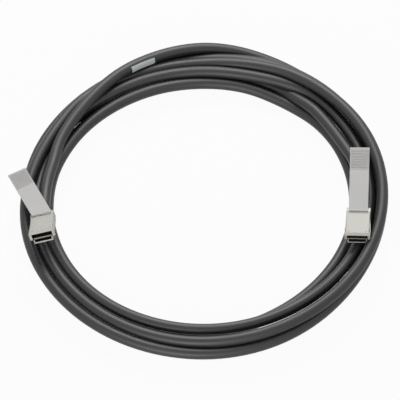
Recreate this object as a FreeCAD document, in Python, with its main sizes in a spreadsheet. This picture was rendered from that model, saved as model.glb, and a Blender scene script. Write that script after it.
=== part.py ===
"""Direct attach copper cable: a loose coil of round cable with a latching network plug on each end.

Millimetres, +Z up. The origin is on the floor, under the middle of the whole cable.
Each plug is built in its own frame (x across, y back from the nose, z up from the underside)
and is then placed where its boot meets the cable.
"""
import FreeCAD, Part
import math
import os
import re
import Sketcher
from FreeCAD import Placement, Rotation, Vector

DIMENSIONS = (
    # Cable
    ("cable_diameter", 8.1, "outside of the round jacket"),
    ("core_diameter", 5.0, "shielded bundle inside the jacket"),
    ("coil_radius", 116.2, "middle of the bundle of turns"),
    ("coil_bundle", 28.6, "width of the bundle of turns"),
    ("coil_height", 16.0, "height of the bundle of turns"),
    ("coil_top_bevel", 6.0, "bevel of the bundle's upper edges"),
    ("coil_foot_bevel", 3.0, "bevel of the bundle's lower edges"),
    ("coil_x", 3.0, "middle of the ring"),
    ("coil_y", 0.0, "middle of the ring"),
    ("lead_run", 20.5, "straight stretch of cable behind each boot"),
    # Where each boot lets go of the cable, and how its plug is tipped
    ("exit_a_inset", 4.9, "left plug, inside the middle of the bundle"),
    ("exit_a_y", -16.3, "left plug"),
    ("exit_a_z", 23.5, "left plug"),
    ("yaw_angle_a", -1.5, "degrees, left plug turned about the upright"),
    ("pitch_angle_a", 22.5, "degrees, left plug's nose raised"),
    ("roll_angle_a", 17.0, "degrees, left plug's right side raised"),
    ("exit_b_inset", 7.9, "right plug, inside the middle of the bundle"),
    ("exit_b_y", -7.0, "right plug"),
    ("exit_b_z", 20.3, "right plug"),
    ("yaw_angle_b", -3.0, "degrees, right plug turned about the upright"),
    ("pitch_angle_b", 4.0, "degrees, right plug's nose raised"),
    ("roll_angle_b", 2.0, "degrees, right plug's right side raised"),
    # Shells
    ("plug_width", 16.7, "across the upper shell"),
    ("plug_height", 8.5, "over both shells"),
    ("shell_length", 23.5, "nose to back"),
    ("top_wall", 1.0, "roof of the upper shell"),
    ("edge_round", 0.8, "long top edges"),
    ("parting_height", 3.2, "where the shells meet, level with the card's underside"),
    ("nose_slope_length", 1.9, "bevel over the mouth, along the plug"),
    ("nose_slope_drop", 0.7, "bevel over the mouth, downwards"),
    ("side_wall", 1.1, "each side of the mouth and of the card"),
    ("cheek", 0.65, "nose outside the latch arms' channels on each side"),
    ("cavity_end", 13.0, "back of the wide part of the cavity"),
    ("throat_wall", 3.7, "each side of the room where the pairs draw together"),
    ("back_wall", 1.6, "wall behind the ferrule"),
    ("panel_depth", 0.15, "shallow panel in the roof"),
    ("panel_border", 1.5, "roof left standing beside the panel"),
    ("panel_front", 0.7, "roof left standing between the bevel and the panel"),
    ("panel_back", 0.9, "roof left standing between the panel and the slider"),
    ("dimple_diameter", 0.9, "small mould marks by the panel's front corners"),
    ("dimple_inset", 0.55, "mould marks, inside the panel's edges"),
    ("dimple_depth", 0.25, "mould marks, below the panel"),
    ("lower_step", 0.75, "lower shell inside the upper one on each side"),
    ("lip_step", 1.55, "lower lip inside the upper shell on each side"),
    ("lip_length", 5.0, "narrow front of the lower shell"),
    ("lip_raise", 0.2, "lip above the plug's underside"),
    ("lip_reach", 0.6, "lip ahead of the upper shell"),
    ("lip_wall", 0.75, "sides of the lip"),
    ("floor_wall", 1.1, "floor of the lower shell"),
    ("lower_round", 0.6, "long lower edges"),
    # Latch slider and pull tab
    ("slider_sheet", 0.5, "steel thickness"),
    ("slider_play", 0.1, "gap round the slider"),
    ("slider_depth", 3.0, "bridge of the slider along the plug"),
    ("slider_travel", 2.2, "how far the tab draws the slider back"),
    ("arm_height", 3.2, "side arms"),
    ("arm_bottom", 4.3, "underside of the side arms"),
    ("arm_front", 1.6, "tip of the arms behind the nose"),
    ("arm_flare", 0.8, "how far the arms stand out beside the shell"),
    ("flare_at", 4.4, "widest point of the arms behind the nose"),
    ("lead_in", 1.2, "bent tip of the arms, along the plug"),
    ("lead_in_flare", 0.6, "how far the root of the bent tip stands out"),
    ("flare_from", 16.0, "where the arms start to stand out"),
    ("tab_step", 1.65, "pull tab inside the shell on each side"),
    ("tab_length", 49.0, "strap behind the slider"),
    ("tab_thickness", 1.2, "strap"),
    ("strap_setback", 0.7, "start of the strap behind the root's front edge"),
    ("tab_rise_angle_a", 10.5, "degrees, left strap lifted clear of the cable"),
    ("tab_rise_angle_b", 9.0, "degrees, right strap lifted clear of the cable"),
    ("tab_lean_angle_a", 21.0, "degrees, left strap bent sideways"),
    ("tab_lean_angle_b", 1.0, "degrees, right strap bent sideways"),
    ("peg_diameter", 1.6, "tab's pegs through the slider"),
    ("peg_spacing", 8.0, "tab's pegs, across the plug"),
    ("rib_count", 13, "grip ribs across the strap"),
    ("rib_pitch", 1.25, "grip ribs"),
    ("rib_width", 0.5, "grip ribs"),
    ("rib_height", 0.3, "grip ribs"),
    ("rib_margin", 1.4, "strap past the last rib"),
    # Springs and screws
    ("spring_diameter", 1.8, "return springs"),
    ("spring_wire", 0.3, "return springs"),
    ("spring_inset", 1.65, "return springs, inside the shell's sides"),
    ("spring_wall", 1.2, "shell behind the spring's pocket"),
    ("spring_room", 5.8, "length of the spring's pocket"),
    ("screw_inset", 1.9, "shell screws, inside the lower shell's sides"),
    ("screw_y", 14.4, "shell screws, behind the nose"),
    ("screw_shank", 1.2, "diameter"),
    ("screw_head", 2.4, "diameter"),
    ("screw_head_height", 0.7, "sunk in the lower shell"),
    ("screw_bite", 2.6, "thread in the upper shell"),
    ("pilot_spare", 0.3, "pilot hole past the screw's tip"),
    ("cross_width", 0.3, "cross slot in the screw's head"),
    ("cross_length", 1.6, "cross slot in the screw's head"),
    ("cross_depth", 0.4, "cross slot in the screw's head"),
    # Card and what it carries
    ("card_play", 0.2, "card inside the mouth on each side"),
    ("card_length", 12.3, "paddle card"),
    ("card_thickness", 1.0, "paddle card"),
    ("card_setback", 0.3, "card's edge behind the nose"),
    ("card_bevel", 0.5, "front corners of the card"),
    ("pad_count", 19, "contacts on each face"),
    ("pad_edge", 1.35, "middle of the outermost contacts inside the card's edge"),
    ("pad_width", 0.42, "contacts"),
    ("pad_length", 2.2, "contacts"),
    ("pad_thickness", 0.05, "contacts"),
    ("pad_setback", 0.4, "contacts behind the card's edge"),
    ("chip_side", 3.0, "memory chip"),
    ("chip_height", 0.8, "memory chip"),
    ("chip_y", 6.2, "memory chip's middle behind the nose"),
    ("capacitor_length", 1.0, "capacitors"),
    ("capacitor_width", 0.5, "capacitors"),
    ("capacitor_count", 3, "capacitors on each side of the chip"),
    ("capacitor_pitch", 1.3, "capacitors"),
    ("capacitor_gap", 1.6, "middle of each row beside the chip"),
    ("pair_count", 4, "pairs soldered to each face"),
    ("pair_diameter", 1.4, "jacketed pair"),
    ("pair_pitch", 2.4, "pairs at the card"),
    ("pair_pitch_back", 1.35, "pairs at the ferrule"),
    ("pair_overlap", 0.8, "ends of the pairs over the card"),
    ("pair_sides", 10, "flats round each pair"),
    ("ground_bar_depth", 0.9, "ground bars"),
    ("ground_bar_height", 0.35, "ground bars"),
    ("ground_bar_gap", 0.4, "between the ground bars and the pairs"),
    ("comb_thickness", 1.2, "comb that spaces the pairs"),
    ("comb_gap", 0.4, "comb behind the wide part of the cavity"),
    # Where the cable is held
    ("cable_height", 4.25, "cable's middle above the plug's underside"),
    ("ferrule_flats", 5.8, "six-sided crimped sleeve, across its flats"),
    ("ferrule_length", 4.2, "crimped sleeve"),
    ("boot_length", 9.0, "strain relief behind the shells"),
    ("boot_front", 12.6, "diameter where the boot meets the shells"),
    ("boot_back", 9.6, "diameter where the cable leaves"),
    ("boot_flat", 8.0, "boot's height over its flats"),
    ("core_in_boot", 3.0, "bare core inside the boot"),
    ("groove_count", 3, "bending grooves in the boot"),
    ("groove_width", 0.7, "bending grooves"),
    ("groove_depth", 0.5, "bending grooves"),
    ("groove_from", 3.6, "first groove behind the shells"),
    ("groove_pitch", 1.7, "bending grooves"),
    # Grounding spring under the plug
    ("gasket_y", 15.8, "front edge behind the nose"),
    ("gasket_depth", 4.6, "along the plug"),
    ("gasket_sheet", 0.2, "spring sheet"),
    ("gasket_fingers", 8, "fingers"),
    ("gasket_pitch", 1.7, "fingers"),
    ("gasket_gap", 0.4, "slots between the fingers"),
    ("gasket_bow", 0.55, "how far the fingers stand out"),
    ("gasket_rim", 0.7, "uncut strip at each edge"),
    ("gasket_crest", 1.4, "flat top of each finger"),
)

# Sizes that follow from the others
DERIVED = (
    ("mouth_width", "plug_width - 2 * side_wall", "opening in the nose"),
    ("throat_width", "plug_width - 2 * throat_wall", "room where the pairs draw together"),
    ("lower_width", "plug_width - 2 * lower_step", "lower shell behind its lip"),
    ("lip_width", "plug_width - 2 * lip_step", "lower lip at the nose"),
    ("tab_width", "plug_width - 2 * tab_step", "pull tab"),
    ("card_width", "mouth_width - 2 * card_play", "paddle card"),
    ("pad_pitch", "(card_width - 2 * pad_edge) / (pad_count - 1)", "contacts"),
    ("screw_x", "lower_width / 2 - screw_inset", "shell screws, from the middle"),
    ("spring_x", "plug_width / 2 - spring_inset", "return springs, from the middle"),
    ("spring_front", "shell_length - spring_wall - spring_room - slider_sheet",
     "slider's tongue that bears on the spring"),
    ("exit_a_x", "coil_x - coil_radius + exit_a_inset", "left plug"),
    ("exit_b_x", "coil_x + coil_radius - exit_b_inset", "right plug"),
)

# Where each cable goes in among the turns, from the place where its boot lets it go
LEAD_ENDS = {"a": (3.8, 38.9, -11.0), "b": (-2.4, 38.9, -8.3)}
FIT = 0.1  # gap between parts that slide together or are potted

doc = FreeCAD.newDocument("direct_attach_cable")
sheet = doc.addObject("Spreadsheet::Sheet", "Dims")
for row, (alias, number, meaning) in enumerate(DIMENSIONS, 1):
    sheet.set(f"A{row}", meaning)
    sheet.set(f"B{row}", str(number))
    sheet.setAlias(f"B{row}", alias)
ALIASES = {row[0] for row in DIMENSIONS + DERIVED}
nodes = []


def bound(text):
    """The expression with each of the sheet's words pointing at its cell."""
    return re.sub(r"[a-z_]+[a-z]", lambda m: "Dims." + m[0] if m[0] in ALIASES else m[0], str(text))


def value(text):
    """What an expression comes to now."""
    return float(sheet.evalExpression(bound(text)))


for row, (alias, formula, meaning) in enumerate(DERIVED, len(DIMENSIONS) + 1):
    sheet.set(f"A{row}", meaning)
    sheet.set(f"B{row}", "=" + re.sub(r"Dims\.", "", bound(formula)))
    sheet.setAlias(f"B{row}", alias)
doc.recompute()


def place(thing, corner):
    for axis, text in zip("xyz", corner):
        thing.setExpression(f"Placement.Base.{axis}", bound(text))


def box(name, corner, sides):
    """A block from its lowest corner and its three sides."""
    block = doc.addObject("Part::Box", name)
    for side, text in zip(("Length", "Width", "Height"), sides):
        block.setExpression(side, bound(text))
    place(block, corner)
    return block


def rod(name, centre, radius, length, axis="z"):
    """A cylinder that starts at centre and runs up, or back along the plug."""
    cylinder = doc.addObject("Part::Cylinder", name)
    cylinder.setExpression("Radius", bound(radius))
    cylinder.setExpression("Height", bound(length))
    if axis == "y":
        cylinder.Placement = Placement(Vector(), Rotation(Vector(1, 0, 0), -90))
    place(cylinder, centre)
    return cylinder


def bar(name, centre, radius, length, sides, axis="z"):
    """A straight-sided bar, with its radius to the corners."""
    prismatic = doc.addObject("Part::Prism", name)
    prismatic.Polygon = sides
    prismatic.setExpression("Circumradius", bound(radius))
    prismatic.setExpression("Height", bound(length))
    if axis == "y":
        prismatic.Placement = Placement(Vector(), Rotation(Vector(1, 0, 0), -90))
    place(prismatic, centre)
    return prismatic


def cone(name, centre, radius_front, radius_back, length):
    """A cone that runs back along the plug."""
    taper = doc.addObject("Part::Cone", name)
    taper.Placement = Placement(Vector(), Rotation(Vector(1, 0, 0), -90))
    for side, text in (("Radius1", radius_front), ("Radius2", radius_back), ("Height", length)):
        taper.setExpression(side, bound(text))
    place(taper, centre)
    return taper


def outline(sketch, corners):
    """A closed outline of straight edges, with each corner held by two bound distances."""
    points = [Vector(value(x), value(y), 0) for x, y in corners]
    for start, end in zip(points, points[1:] + points[:1]):
        sketch.addGeometry(Part.LineSegment(start, end), False)
    for edge in range(len(points)):
        following = (edge + 1) % len(points)
        sketch.addConstraint(Sketcher.Constraint("Coincident", edge, 2, following, 1))
    for edge, corner in enumerate(corners):
        for kind, text, at in zip(("DistanceX", "DistanceY"), corner, (points[edge].x, points[edge].y)):
            number = sketch.addConstraint(Sketcher.Constraint(kind, -1, 1, edge, 1, at))
            sketch.setExpression(f"Constraints[{number}]", bound(text))


def prism(name, corners, start, length, across=False):
    """An outline made solid: upwards, or across the plug when it is drawn in the (y, z) plane."""
    sketch = doc.addObject("Sketcher::SketchObject", name + "_outline")
    outline(sketch, corners)
    if across:
        sketch.Placement = Placement(Vector(), Rotation(Vector(1, 1, 1), 120))
        sketch.setExpression("Placement.Base.x", bound(start))
    else:
        sketch.setExpression("Placement.Base.z", bound(start))
    solid = doc.addObject("Part::Extrusion", name)
    solid.Base = sketch
    solid.DirMode = "Normal"
    solid.Solid = True
    solid.setExpression("LengthFwd", bound(length))
    return solid


def cut(name, base, *tools):
    result = doc.addObject("Part::Cut", name)
    result.Base = base
    result.Tool = tools[0] if len(tools) == 1 else fuse(name + "_tools", *tools)
    return result


def fuse(name, *solids):
    result = doc.addObject("Part::MultiFuse", name)
    result.Shapes = list(solids)
    return result


def common(name, *solids):
    result = doc.addObject("Part::MultiCommon", name)
    result.Shapes = list(solids)
    return result


def group(name, *solids):
    """Like pieces that share one node."""
    result = doc.addObject("Part::Compound", name)
    result.Links = list(solids)
    return result


def round_edges(name, base, radius, wanted):
    """Rounds the straight edges of base whose middle passes the test."""
    doc.recompute()
    result = doc.addObject("Part::Fillet", name)
    result.Base = base
    size = value(radius)
    edges = enumerate(base.Shape.Edges, 1)
    result.Edges = [(number, size, size) for number, edge in edges if wanted(edge)]
    return result


def finish(thing, label, placement=None):
    """Puts a finished piece in its place, under the name of its file."""
    thing.Label = label
    if placement is not None:
        thing.Placement = placement
    nodes.append(thing)


def both(text):
    """The same thing on the left and on the right of the plug."""
    return (("left", f"-({text})"), ("right", text))


def along_plug(edge, height):
    """Whether an edge runs along the plug at this height."""
    ends = [vertex.Point for vertex in edge.Vertexes]
    if len(ends) != 2:
        return False
    across = math.hypot(ends[1].x - ends[0].x, ends[1].z - ends[0].z)
    return across < 1e-6 and abs(ends[0].z - height) < 1e-6


# ---------------------------------------------------------------- shells


def upper_shell(side):
    """Die-cast roof and sides: it carries the nose, the arms' channels and the spring pockets."""
    name = f"upper_shell_{side}"
    block = box(name + "_block", ("-plug_width / 2", 0, "parting_height"),
                ("plug_width", "shell_length", "plug_height - parting_height"))
    top = value("plug_height")
    rounded = round_edges(name + "_rounded", block, "edge_round", lambda edge: along_plug(edge, top))
    cheeks = box(name + "_cheeks", ("-plug_width / 2 - cheek", 0, "parting_height"),
                 ("plug_width + 2 * cheek", "arm_front - slider_play", "plug_height - parting_height"))
    body = fuse(name + "_body", rounded, cheeks)
    ceiling = "plug_height - top_wall - parting_height + 1"
    below = "parting_height - 1"
    tools = [
        prism(name + "_bevel",
              (("-1", "plug_height - 1.5 * nose_slope_drop"), ("0", "plug_height - nose_slope_drop"),
               ("nose_slope_length", "plug_height"), ("nose_slope_length", "plug_height + 1"),
               ("-1", "plug_height + 1")),
              "-plug_width", "2 * plug_width", across=True),
        box(name + "_cavity", ("-mouth_width / 2", -1, below), ("mouth_width", "cavity_end + 1", ceiling)),
        box(name + "_throat", ("-throat_width / 2", "cavity_end - 1", below),
            ("throat_width", "shell_length - back_wall - cavity_end + 1", ceiling)),
        rod(name + "_port", (0, "shell_length - back_wall - 1", "cable_height"),
            f"core_diameter / 2 + {FIT}", "back_wall + 2", axis="y"),
        box(name + "_step", ("-plug_width", "shell_length - slider_depth - slider_play",
                             "plug_height - slider_sheet - slider_play"),
            ("2 * plug_width", "slider_depth + 2", 2)),
        box(name + "_panel", ("-plug_width / 2 + panel_border", "nose_slope_length + panel_front",
                              "plug_height - panel_depth"),
            ("plug_width - 2 * panel_border",
             "shell_length - slider_depth - nose_slope_length - panel_front - panel_back", 1)),
    ]
    for hand, centre in both("plug_width / 2"):
        tools.append(box(f"{name}_channel_{hand}",
                         (f"{centre} - slider_sheet - slider_play", "arm_front - slider_play",
                          "arm_bottom - slider_play"),
                         ("2 * (slider_sheet + slider_play)", "shell_length",
                          "arm_height + 2 * slider_play")))
        tools.append(box(f"{name}_corner_{hand}",
                         (f"{centre} - slider_sheet - slider_play",
                          "shell_length - slider_depth - slider_play", "arm_bottom - slider_play"),
                         ("2 * (slider_sheet + slider_play)", "slider_depth + 2", "plug_height")))
    for hand, centre in both("spring_x"):
        outwards = "spring_x - spring_diameter / 2 - slider_play"
        depth = f"plug_width / 2 - slider_sheet - ({outwards})"
        start = outwards if hand == "right" else f"-({outwards}) - ({depth})"
        tools.append(box(f"{name}_pocket_{hand}",
                         (start, "spring_front - slider_play",
                          "arm_bottom + arm_height / 2 - spring_diameter / 2 - slider_play"),
                         (depth, "spring_room + slider_sheet + slider_play",
                          "spring_diameter + 2 * slider_play")))
    for hand, centre in both("screw_x"):
        tools.append(rod(f"{name}_pilot_{hand}", (centre, "screw_y", "parting_height - 1"),
                         "screw_shank / 2", "1 + screw_bite + pilot_spare"))
    for hand, centre in both("plug_width / 2 - panel_border - dimple_inset"):
        tools.append(bar(f"{name}_dimple_{hand}",
                         (centre, "nose_slope_length + panel_front + dimple_inset",
                          "plug_height - panel_depth - dimple_depth"), "dimple_diameter / 2", 1, 8))
    return cut(name, body, *tools)


def lower_shell(side):
    """Die-cast tray under the card, with a narrower lip at the nose."""
    name = f"lower_shell_{side}"
    tray_block = box(name + "_tray_block", ("-lower_width / 2", "lip_length", 0),
                     ("lower_width", "shell_length - lip_length", "parting_height"))
    tray = round_edges(name + "_tray", tray_block, "lower_round", lambda edge: along_plug(edge, 0))
    lip = box(name + "_lip", ("-lip_width / 2", "-lip_reach", "lip_raise"),
              ("lip_width", "lip_reach + lip_length + 1", "parting_height - lip_raise"))
    tools = [
        box(name + "_cavity", ("-lip_width / 2 + lip_wall", "-lip_reach - 1", "lip_raise + floor_wall"),
            ("lip_width - 2 * lip_wall", "lip_reach + cavity_end + 1", "plug_height")),
        box(name + "_throat", ("-throat_width / 2", "cavity_end - 1", "floor_wall"),
            ("throat_width", "shell_length - back_wall - cavity_end + 1", "plug_height")),
        rod(name + "_port", (0, "shell_length - back_wall - 1", "cable_height"),
            f"core_diameter / 2 + {FIT}", "back_wall + 2", axis="y"),
        box(name + "_gasket_seat", ("-lower_width", f"gasket_y - {FIT}", -1),
            ("2 * lower_width", f"gasket_depth + 2 * {FIT}", "1 + gasket_sheet")),
    ]
    for hand, centre in both("screw_x"):
        tools.append(rod(f"{name}_hole_{hand}", (centre, "screw_y", -1),
                         f"screw_shank / 2 + {FIT}", "parting_height + 2"))
        tools.append(rod(f"{name}_sink_{hand}", (centre, "screw_y", -1),
                         f"screw_head / 2 + {FIT}", "1 + screw_head_height"))
    return cut(name, fuse(name + "_body", tray, lip), *tools)


def shell_screws(side):
    """Two small flat-headed screws that draw the shells together from below."""
    name = f"shell_screws_{side}"
    screws = []
    for hand, centre in both("screw_x"):
        head = rod(f"{name}_head_{hand}", (centre, "screw_y", 0), "screw_head / 2", "screw_head_height")
        shank = rod(f"{name}_shank_{hand}", (centre, "screw_y", "screw_head_height / 2"),
                    "screw_shank / 2", "parting_height + screw_bite - screw_head_height / 2")
        slots = [
            box(f"{name}_slot_{turn}_{hand}",
                (f"{centre} - {wide} / 2", f"screw_y - {deep} / 2", -1), (wide, deep, "1 + cross_depth"))
            for turn, wide, deep in (("along", "cross_width", "cross_length"),
                                     ("across", "cross_length", "cross_width"))
        ]
        screws.append(cut(f"{name}_{hand}", fuse(f"{name}_blank_{hand}", head, shank), *slots))
    return group(name, *screws)


def emi_spring(side):
    """Grounding spring: a band of bowed fingers under the lower shell."""
    name = f"emi_spring_{side}"
    back = "gasket_y + gasket_depth"
    middle = "gasket_y + gasket_depth / 2"
    width = "gasket_fingers * gasket_pitch"
    pieces = []
    for edge, start in (("front", "gasket_y"), ("rear", f"{back} - gasket_rim")):
        pieces.append(box(f"{name}_{edge}", (f"-({width}) / 2", start, 0),
                          (width, "gasket_rim", "gasket_sheet")))
    bowed = (
        ("gasket_y + gasket_rim / 2", "0"), (f"{middle} - gasket_crest / 2", "-gasket_bow"),
        (f"{middle} + gasket_crest / 2", "-gasket_bow"), (f"{back} - gasket_rim / 2", "0"),
        (f"{back} - gasket_rim / 2", "gasket_sheet"),
        (f"{middle} + (gasket_crest - gasket_sheet) / 2", "gasket_sheet - gasket_bow"),
        (f"{middle} - (gasket_crest - gasket_sheet) / 2", "gasket_sheet - gasket_bow"),
        ("gasket_y + gasket_rim / 2", "gasket_sheet"),
    )
    for number in range(int(value("gasket_fingers"))):
        start = f"({number} - gasket_fingers / 2) * gasket_pitch + gasket_gap / 2"
        pieces.append(prism(f"{name}_finger_{number}", bowed, start, "gasket_pitch - gasket_gap",
                            across=True))
    return fuse(name, *pieces)


# ---------------------------------------------------------------- latch


def latch_slider(side):
    """Bent steel slider: a bridge behind the roof and two arms that flare beside the nose."""
    name = f"latch_slider_{side}"
    rear = "shell_length - slider_depth"
    bridge = box(name + "_bridge", ("-plug_width / 2", rear, "plug_height - slider_sheet"),
                 ("plug_width", "slider_depth", "slider_sheet"))
    pieces = [bridge]
    for hand, sign in (("left", "-"), ("right", "")):
        outside = f"{sign}(plug_width / 2)"
        inside = f"{sign}(plug_width / 2 - slider_sheet)"
        arm = (
            (outside, "shell_length"), (outside, "flare_from"),
            (f"{sign}(plug_width / 2 + arm_flare)", "flare_at"),
            (f"{sign}(plug_width / 2 + lead_in_flare)", "arm_front + lead_in"),
            (outside, "arm_front"), (inside, "arm_front + slider_sheet / 2"),
            (f"{sign}(plug_width / 2 + lead_in_flare - slider_sheet)",
             "arm_front + lead_in + slider_sheet / 2"),
            (f"{sign}(plug_width / 2 + arm_flare - slider_sheet)", "flare_at"),
            (inside, "flare_from"), (inside, "shell_length"),
        )
        pieces.append(prism(f"{name}_arm_{hand}", arm, "arm_bottom", "arm_height"))
        web_start = inside if hand == "right" else outside
        pieces.append(box(f"{name}_web_{hand}", (web_start, rear, "arm_bottom"),
                          ("slider_sheet", "slider_depth", "plug_height - arm_bottom")))
        reach = "plug_width / 2 - slider_sheet / 2 - (spring_x - spring_diameter / 2)"
        tongue_start = ("spring_x - spring_diameter / 2" if hand == "right"
                        else f"-(spring_x - spring_diameter / 2) - ({reach})")
        pieces.append(box(f"{name}_tongue_{hand}",
                          (tongue_start, "spring_front",
                           "arm_bottom + arm_height / 2 - spring_diameter / 2"),
                          (reach, "slider_sheet", "spring_diameter")))
    holes = [rod(f"{name}_hole_{hand}",
                 (centre, f"{rear} + slider_depth / 2", "plug_height - 2 * slider_sheet"),
                 "peg_diameter / 2", "3 * slider_sheet") for hand, centre in both("peg_spacing / 2")]
    return cut(name, fuse(name + "_blank", *pieces), *holes)


def pull_tab(side):
    """Flexible strap moulded onto the slider's bridge, with grip ribs near its free end."""
    name = f"pull_tab_{side}"
    rear = "shell_length - slider_depth"
    root = box(name + "_root", ("-tab_width / 2", rear, "plug_height"),
               ("tab_width", "slider_depth", "tab_thickness"))
    pegs = [rod(f"{name}_peg_{hand}", (centre, f"{rear} + slider_depth / 2", "plug_height - slider_sheet"),
                "peg_diameter / 2", "slider_sheet + tab_thickness / 2")
            for hand, centre in both("peg_spacing / 2")]
    turn = (Rotation(Vector(0, 0, 1), value(f"tab_lean_angle_{side}"))
            * Rotation(Vector(1, 0, 0), value(f"tab_rise_angle_{side}")))
    pivot = Vector(0, value(f"{rear} + strap_setback"), value("plug_height"))
    length = value("tab_length")
    half = value("tab_width") / 2
    strap = box(name + "_strap", (0, 0, 0), ("tab_width", "tab_length", "tab_thickness"))
    for axis in "xyz":
        strap.setExpression(f"Placement.Base.{axis}", None)
    strap.Placement = Placement(pivot + turn.multVec(Vector(-half, 0, 0)), turn)
    pieces = [root, strap]
    for number in range(int(value("rib_count"))):
        rib = doc.addObject("Part::Box", f"{name}_rib_{number}")
        rib.setExpression("Length", bound("tab_width - 2 * rib_width"))
        rib.setExpression("Width", bound("rib_width"))
        rib.setExpression("Height", bound("tab_thickness / 2 + rib_height"))
        back = length - value("rib_margin") - number * value("rib_pitch") - value("rib_width")
        corner = Vector(value("rib_width") - half, back, value("tab_thickness") / 2)
        rib.Placement = Placement(pivot + turn.multVec(corner), turn)
        pieces.append(rib)
    clear = box(name + "_clear", ("-plug_width", f"{rear} - plug_width", 0),
                ("2 * plug_width", "plug_width", "2 * plug_height"))
    strap_solid = cut(name + "_trimmed", fuse(name + "_blank", *pieces), clear)
    return fuse(name, strap_solid, *pegs)


def return_springs(side):
    """The two coil springs that push the slider forward again."""
    name = f"return_springs_{side}"
    springs = []
    for hand, centre in both("spring_x"):
        start = (centre, "spring_front + slider_sheet", "arm_bottom + arm_height / 2")
        outer = bar(f"{name}_outer_{hand}", start, "spring_diameter / 2", "spring_room", 8, axis="y")
        inner = bar(f"{name}_inner_{hand}", start, "spring_diameter / 2 - spring_wire",
                    "spring_room", 8, axis="y")
        springs.append(cut(f"{name}_{hand}", outer, inner))
    return group(name, *springs)


# ---------------------------------------------------------------- card and conductors


def paddle_card(side):
    """The circuit board whose front edge is the plug's contact tongue."""
    name = f"paddle_card_{side}"
    body = doc.addObject("PartDesign::Body", name)
    sketch = body.newObject("Sketcher::SketchObject", name + "_outline")
    plane = next(item for item in body.Origin.OriginFeatures if item.Role == "XY_Plane")
    sketch.AttachmentSupport = (plane, [""])
    sketch.MapMode = "FlatFace"
    sketch.setExpression("AttachmentOffset.Base.z", bound("parting_height"))
    back = "card_setback + card_length"
    outline(sketch, (
        ("-card_width / 2 + card_bevel", "card_setback"), ("card_width / 2 - card_bevel", "card_setback"),
        ("card_width / 2", "card_setback + card_bevel"), ("card_width / 2", back),
        ("-card_width / 2", back), ("-card_width / 2", "card_setback + card_bevel"),
    ))
    pad = body.newObject("PartDesign::Pad", name + "_pad")
    pad.Profile = sketch
    pad.setExpression("Length", bound("card_thickness"))
    return body


def contact_pads(side):
    """Gold contacts on both faces of the card, just behind its front edge."""
    name = f"contact_pads_{side}"
    pads = []
    for face, height in (("top", "parting_height + card_thickness"),
                         ("under", "parting_height - pad_thickness")):
        for number in range(int(value("pad_count"))):
            start = f"({number} - (pad_count - 1) / 2) * pad_pitch - pad_width / 2"
            pads.append(box(f"{name}_{face}_{number}", (start, "card_setback + pad_setback", height),
                            ("pad_width", "pad_length", "pad_thickness")))
    return group(name, *pads)


def memory_chip(side):
    """The small chip that tells the host what is plugged in."""
    name = f"memory_chip_{side}"
    chip = box(name + "_body", ("-chip_side / 2", "chip_y - chip_side / 2",
                                "parting_height + card_thickness"),
               ("chip_side", "chip_side", "chip_height"))
    return group(name, chip)


def capacitors(side):
    """Coupling capacitors in a row on each side of the chip."""
    name = f"capacitors_{side}"
    parts = []
    for hand, centre in both("chip_side / 2 + capacitor_gap"):
        for number in range(int(value("capacitor_count"))):
            parts.append(box(f"{name}_{hand}_{number}",
                             (f"{centre} - capacitor_width / 2",
                              f"chip_y - chip_side / 2 + {number} * capacitor_pitch",
                              "parting_height + card_thickness"),
                             ("capacitor_width", "capacitor_length", "capacitor_width")))
    return group(name, *parts)


def ground_bars(side):
    """Bars soldered across the pairs' shields, one on each face of the card."""
    name = f"ground_bars_{side}"
    width = "pair_count * pair_pitch"
    start = "card_setback + card_length - pair_overlap - ground_bar_depth - ground_bar_gap"
    top = box(name + "_top", (f"-({width}) / 2", start, "parting_height + card_thickness"),
              (width, "ground_bar_depth", "ground_bar_height"))
    under = box(name + "_under", (f"-({width}) / 2", start, "parting_height - ground_bar_height"),
                (width, "ground_bar_depth", "ground_bar_height"))
    return group(name, top, under)


def pair_lines(face):
    """The straight line of each jacketed pair, from the card to the ferrule."""
    front = value("card_setback + card_length - pair_overlap")
    back = value("shell_length - back_wall - ferrule_length") - 2 * FIT
    radius = value("pair_diameter") / 2
    middle = value("parting_height + card_thickness / 2")
    stand_off = value("card_thickness") / 2 + radius + 2 * FIT
    drawn_in = value("pair_diameter") / 2 + FIT / 2
    side_of_card = 1 if face == "upper" else -1
    count = int(value("pair_count"))
    lines = []
    for number in range(count):
        step = number - (count - 1) / 2
        start = Vector(step * value("pair_pitch"), front, middle + side_of_card * stand_off)
        end = Vector(step * value("pair_pitch_back"), back,
                     value("cable_height") + side_of_card * drawn_in)
        lines.append((start, end))
    return lines


def wire_pairs(side, face):
    """Four jacketed pairs, soldered to one face of the card."""
    radius = value("pair_diameter") / 2
    sides = int(value("pair_sides"))
    shapes = []
    for start, end in pair_lines(face):
        circle = Part.Circle(start, end - start, radius)
        corners = [circle.value(2 * math.pi * number / sides) for number in range(sides)]
        section = Part.Face(Part.makePolygon(corners + corners[:1]))
        shapes.append(section.extrude(end - start))
    pairs = doc.addObject("Part::Feature", f"wire_pairs_{face}_{side}")
    pairs.Shape = Part.makeCompound(shapes)
    return pairs


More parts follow.
